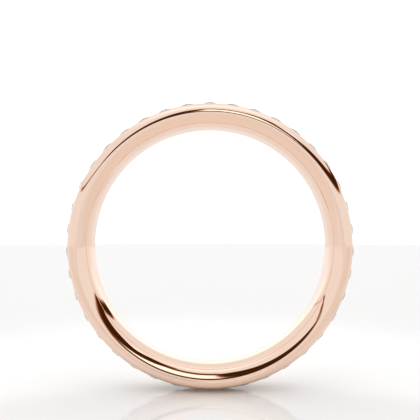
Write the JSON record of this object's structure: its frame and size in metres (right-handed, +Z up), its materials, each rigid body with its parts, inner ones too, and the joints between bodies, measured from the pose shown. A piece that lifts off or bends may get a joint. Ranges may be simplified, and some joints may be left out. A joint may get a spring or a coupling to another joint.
{
  "type": "wedding band",
  "caption": "Full eternity wedding band: a polished rose-gold comfort-fit band with round brilliants held in seats by shared beads all round its rim",
  "frame": {"origin": "centre of the finger bore: on its axis, midway across the width of the band", "axes": "+Y along the finger, which is the axis of the bore; +Z up through the middle of stone_01; +X to the right as seen from -Y. The ring stands on its rim on the plane z = -10.10 mm"},
  "size_m": [0.0202, 0.003, 0.0202],
  "materials": {
    "gold": "mirror-polished 18 carat rose gold, with fine polishing hairlines",
    "stone": "clear faceted diamond with polished facets and a fine bruted girdle"
  },
  "bodies": {
    "root": {"band": "gold", "stone_01": "stone", "stone_02": "stone", "stone_03": "stone", "stone_04": "stone", "stone_05": "stone", "stone_06": "stone", "stone_07": "stone", "stone_08": "stone", "stone_09": "stone", "stone_10": "stone", "stone_11": "stone", "stone_12": "stone", "stone_13": "stone", "stone_14": "stone", "stone_15": "stone", "stone_16": "stone", "stone_17": "stone", "stone_18": "stone", "stone_19": "stone", "stone_20": "stone", "stone_21": "stone", "stone_22": "stone", "stone_23": "stone", "stone_24": "stone", "stone_25": "stone", "stone_26": "stone", "stone_27": "stone", "stone_28": "stone", "stone_29": "stone", "stone_30": "stone", "stone_31": "stone", "stone_32": "stone", "stone_33": "stone", "stone_34": "stone", "stone_35": "stone", "stone_36": "stone", "stone_37": "stone", "stone_38": "stone", "stone_39": "stone"}
  },
  "joints": []
}
